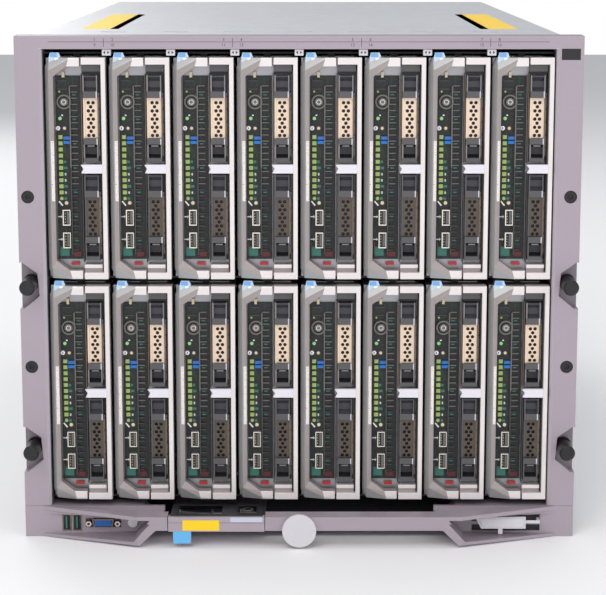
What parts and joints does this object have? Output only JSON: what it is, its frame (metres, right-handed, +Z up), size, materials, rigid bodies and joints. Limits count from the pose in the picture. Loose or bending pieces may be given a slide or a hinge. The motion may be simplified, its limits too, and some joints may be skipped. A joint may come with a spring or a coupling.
{
  "type": "blade server chassis",
  "caption": "Rack chassis with two rows of pull-out server blades, a bowed front bezel with a sliding display drawer, and rear power, fan and interconnect modules.",
  "frame": {"origin": "centre of the bounding box at the chassis's base", "axes": "+X to the viewer's right when facing the front, +Y from the front to the rear, +Z up"},
  "size_m": [0.4826, 0.7894, 0.44],
  "materials": {
    "body_steel": "satin",
    "cover_steel": "satin",
    "shelf_steel": "matte",
    "board_green": "satin",
    "bezel_grey": "satin",
    "tab_white": "satin",
    "screw_black": "satin",
    "port_metal": "satin",
    "button_white": "gloss",
    "tray_grey": "satin",
    "panel_dark": "satin",
    "badge_silver": "satin",
    "psu_metal": "satin",
    "fan_grey": "satin",
    "iom_metal": "satin",
    "mgmt_metal": "satin",
    "blade_steel": "satin",
    "frame_silver": "satin",
    "lever_silver": "satin",
    "io_black": "satin",
    "release_blue": "gloss",
    "power_silver": "gloss",
    "carrier_light": "satin",
    "carrier_dark": "satin"
  },
  "bodies": {
    "chassis": {"enclosure": "body_steel", "top_cover": "cover_steel", "bay_shelves": "shelf_steel", "midplane": "board_green", "front_bezel": "bezel_grey", "slot_tabs": "tab_white", "ear_screws": "screw_black", "front_ports": "port_metal", "front_badges": "badge_silver", "power_supplies": "psu_metal", "fan_modules": "fan_grey", "io_modules": "iom_metal", "management_modules": "mgmt_metal"},
    "thumbscrew_1": {"thumbscrew_1": "screw_black"},
    "thumbscrew_2": {"thumbscrew_2": "screw_black"},
    "thumbscrew_3": {"thumbscrew_3": "screw_black"},
    "thumbscrew_4": {"thumbscrew_4": "screw_black"},
    "chassis_button": {"chassis_button": "button_white"},
    "lcd_tray": {"lcd_tray": "tray_grey"},
    "lcd_panel": {"lcd_panel": "panel_dark"},
    "blade_01": {"housing_01": "blade_steel", "cover_01": "blade_steel", "mainboard_01": "board_green", "frame_01": "frame_silver", "io_panel_01": "io_black"},
    "blade_02": {"blade_02": "blade_steel"},
    "blade_03": {"blade_03": "blade_steel"},
    "blade_04": {"blade_04": "blade_steel"},
    "blade_05": {"blade_05": "blade_steel"},
    "blade_06": {"blade_06": "blade_steel"},
    "blade_07": {"blade_07": "blade_steel"},
    "blade_08": {"blade_08": "blade_steel"},
    "blade_09": {"blade_09": "blade_steel"},
    "blade_10": {"blade_10": "blade_steel"},
    "blade_11": {"blade_11": "blade_steel"},
    "blade_12": {"blade_12": "blade_steel"},
    "blade_13": {"blade_13": "blade_steel"},
    "blade_14": {"blade_14": "blade_steel"},
    "blade_15": {"blade_15": "blade_steel"},
    "blade_16": {"blade_16": "blade_steel"},
    "handle_01": {"handle_01": "lever_silver"},
    "handle_02": {"handle_02": "lever_silver"},
    "handle_03": {"handle_03": "lever_silver"},
    "handle_04": {"handle_04": "lever_silver"},
    "handle_05": {"handle_05": "lever_silver"},
    "handle_06": {"handle_06": "lever_silver"},
    "handle_07": {"handle_07": "lever_silver"},
    "handle_08": {"handle_08": "lever_silver"},
    "handle_09": {"handle_09": "lever_silver"},
    "handle_10": {"handle_10": "lever_silver"},
    "handle_11": {"handle_11": "lever_silver"},
    "handle_12": {"handle_12": "lever_silver"},
    "handle_13": {"handle_13": "lever_silver"},
    "handle_14": {"handle_14": "lever_silver"},
    "handle_15": {"handle_15": "lever_silver"},
    "handle_16": {"handle_16": "lever_silver"},
    "release_button_01": {"release_button_01": "release_blue"},
    "power_button_01": {"power_button_01": "power_silver"},
    "drive_upper_01": {"drive_upper_01": "carrier_light"},
    "drive_lower_01": {"drive_lower_01": "carrier_dark"}
  },
  "joints": [
    {"name": "thumbscrew_1_turn", "type": "hinge", "parent": "chassis", "child": "thumbscrew_1", "pos_m": [-0.23255, -0.35925, 0.22635], "axis": [0, 1, 0], "continuous": true},
    {"name": "thumbscrew_2_turn", "type": "hinge", "parent": "chassis", "child": "thumbscrew_2", "pos_m": [0.23255, -0.35925, 0.22635], "axis": [0, 1, 0], "continuous": true},
    {"name": "thumbscrew_3_turn", "type": "hinge", "parent": "chassis", "child": "thumbscrew_3", "pos_m": [-0.23255, -0.35925, 0.0803], "axis": [0, 1, 0], "continuous": true},
    {"name": "thumbscrew_4_turn", "type": "hinge", "parent": "chassis", "child": "thumbscrew_4", "pos_m": [0.23255, -0.35925, 0.0803], "axis": [0, 1, 0], "continuous": true},
    {"name": "chassis_button_press", "type": "slide", "parent": "chassis", "child": "chassis_button", "axis": [0, 1, 0], "range_m": [0, 0.002], "stiffness_N_per_m": 600, "springref_m": -0.001},
    {"name": "lcd_slide", "type": "slide", "parent": "chassis", "child": "lcd_tray", "axis": [0, -1, 0], "range_m": [0, 0.09]},
    {"name": "lcd_tilt", "type": "hinge", "parent": "lcd_tray", "child": "lcd_panel", "pos_m": [-0.0717, -0.38605, 0.0252], "axis": [1, 0, 0], "range_deg": [0, 60]},
    {"name": "blade_01_slide", "type": "slide", "parent": "chassis", "child": "blade_01", "axis": [0, 1, 0], "range_m": [-0.5, 0]},
    {"name": "blade_02_slide", "type": "slide", "parent": "chassis", "child": "blade_02", "axis": [0, 1, 0], "range_m": [-0.5, 0]},
    {"name": "blade_03_slide", "type": "slide", "parent": "chassis", "child": "blade_03", "axis": [0, 1, 0], "range_m": [-0.5, 0]},
    {"name": "blade_04_slide", "type": "slide", "parent": "chassis", "child": "blade_04", "axis": [0, 1, 0], "range_m": [-0.5, 0]},
    {"name": "blade_05_slide", "type": "slide", "parent": "chassis", "child": "blade_05", "axis": [0, 1, 0], "range_m": [-0.5, 0]},
    {"name": "blade_06_slide", "type": "slide", "parent": "chassis", "child": "blade_06", "axis": [0, 1, 0], "range_m": [-0.5, 0]},
    {"name": "blade_07_slide", "type": "slide", "parent": "chassis", "child": "blade_07", "axis": [0, 1, 0], "range_m": [-0.5, 0]},
    {"name": "blade_08_slide", "type": "slide", "parent": "chassis", "child": "blade_08", "axis": [0, 1, 0], "range_m": [-0.5, 0]},
    {"name": "blade_09_slide", "type": "slide", "parent": "chassis", "child": "blade_09", "axis": [0, 1, 0], "range_m": [-0.5, 0]},
    {"name": "blade_10_slide", "type": "slide", "parent": "chassis", "child": "blade_10", "axis": [0, 1, 0], "range_m": [-0.5, 0]},
    {"name": "blade_11_slide", "type": "slide", "parent": "chassis", "child": "blade_11", "axis": [0, 1, 0], "range_m": [-0.5, 0]},
    {"name": "blade_12_slide", "type": "slide", "parent": "chassis", "child": "blade_12", "axis": [0, 1, 0], "range_m": [-0.5, 0]},
    {"name": "blade_13_slide", "type": "slide", "parent": "chassis", "child": "blade_13", "axis": [0, 1, 0], "range_m": [-0.5, 0]},
    {"name": "blade_14_slide", "type": "slide", "parent": "chassis", "child": "blade_14", "axis": [0, 1, 0], "range_m": [-0.5, 0]},
    {"name": "blade_15_slide", "type": "slide", "parent": "chassis", "child": "blade_15", "axis": [0, 1, 0], "range_m": [-0.5, 0]},
    {"name": "blade_16_slide", "type": "slide", "parent": "chassis", "child": "blade_16", "axis": [0, 1, 0], "range_m": [-0.5, 0]},
    {"name": "handle_01_turn", "type": "hinge", "parent": "blade_01", "child": "handle_01", "pos_m": [-0.19251, -0.35475, 0.2349], "axis": [1, 0, 0], "range_deg": [0, 35]},
    {"name": "handle_02_turn", "type": "hinge", "parent": "blade_02", "child": "handle_02", "pos_m": [-0.13808, -0.35475, 0.2349], "axis": [1, 0, 0], "range_deg": [0, 35]},
    {"name": "handle_03_turn", "type": "hinge", "parent": "blade_03", "child": "handle_03", "pos_m": [-0.08364, -0.35475, 0.2349], "axis": [1, 0, 0], "range_deg": [0, 35]},
    {"name": "handle_04_turn", "type": "hinge", "parent": "blade_04", "child": "handle_04", "pos_m": [-0.02922, -0.35475, 0.2349], "axis": [1, 0, 0], "range_deg": [0, 35]},
    {"name": "handle_05_turn", "type": "hinge", "parent": "blade_05", "child": "handle_05", "pos_m": [0.02522, -0.35475, 0.2349], "axis": [1, 0, 0], "range_deg": [0, 35]},
    {"name": "handle_06_turn", "type": "hinge", "parent": "blade_06", "child": "handle_06", "pos_m": [0.07964, -0.35475, 0.2349], "axis": [1, 0, 0], "range_deg": [0, 35]},
    {"name": "handle_07_turn", "type": "hinge", "parent": "blade_07", "child": "handle_07", "pos_m": [0.13407, -0.35475, 0.2349], "axis": [1, 0, 0], "range_deg": [0, 35]},
    {"name": "handle_08_turn", "type": "hinge", "parent": "blade_08", "child": "handle_08", "pos_m": [0.18851, -0.35475, 0.2349], "axis": [1, 0, 0], "range_deg": [0, 35]},
    {"name": "handle_09_turn", "type": "hinge", "parent": "blade_09", "child": "handle_09", "pos_m": [-0.19251, -0.35475, 0.0378], "axis": [1, 0, 0], "range_deg": [0, 35]},
    {"name": "handle_10_turn", "type": "hinge", "parent": "blade_10", "child": "handle_10", "pos_m": [-0.13808, -0.35475, 0.0378], "axis": [1, 0, 0], "range_deg": [0, 35]},
    {"name": "handle_11_turn", "type": "hinge", "parent": "blade_11", "child": "handle_11", "pos_m": [-0.08364, -0.35475, 0.0378], "axis": [1, 0, 0], "range_deg": [0, 35]},
    {"name": "handle_12_turn", "type": "hinge", "parent": "blade_12", "child": "handle_12", "pos_m": [-0.02922, -0.35475, 0.0378], "axis": [1, 0, 0], "range_deg": [0, 35]},
    {"name": "handle_13_turn", "type": "hinge", "parent": "blade_13", "child": "handle_13", "pos_m": [0.02522, -0.35475, 0.0378], "axis": [1, 0, 0], "range_deg": [0, 35]},
    {"name": "handle_14_turn", "type": "hinge", "parent": "blade_14", "child": "handle_14", "pos_m": [0.07964, -0.35475, 0.0378], "axis": [1, 0, 0], "range_deg": [0, 35]},
    {"name": "handle_15_turn", "type": "hinge", "parent": "blade_15", "child": "handle_15", "pos_m": [0.13407, -0.35475, 0.0378], "axis": [1, 0, 0], "range_deg": [0, 35]},
    {"name": "handle_16_turn", "type": "hinge", "parent": "blade_16", "child": "handle_16", "pos_m": [0.18851, -0.35475, 0.0378], "axis": [1, 0, 0], "range_deg": [0, 35]},
    {"name": "release_button_01_press", "type": "slide", "parent": "handle_01", "child": "release_button_01", "axis": [0, 0, -1], "range_m": [0, 0.0015], "stiffness_N_per_m": 500, "springref_m": -0.001},
    {"name": "power_button_01_press", "type": "slide", "parent": "blade_01", "child": "power_button_01", "axis": [0, 1, 0], "range_m": [0, 0.001], "stiffness_N_per_m": 500, "springref_m": -0.001},
    {"name": "drive_upper_01_slide", "type": "slide", "parent": "blade_01", "child": "drive_upper_01", "axis": [0, -1, 0], "range_m": [0, 0.12]},
    {"name": "drive_lower_01_slide", "type": "slide", "parent": "blade_01", "child": "drive_lower_01", "axis": [0, -1, 0], "range_m": [0, 0.12]}
  ],
  "couplings": [
    {"joint": "lcd_tilt", "follows": "lcd_slide", "rad_per_m": 11.635}
  ]
}
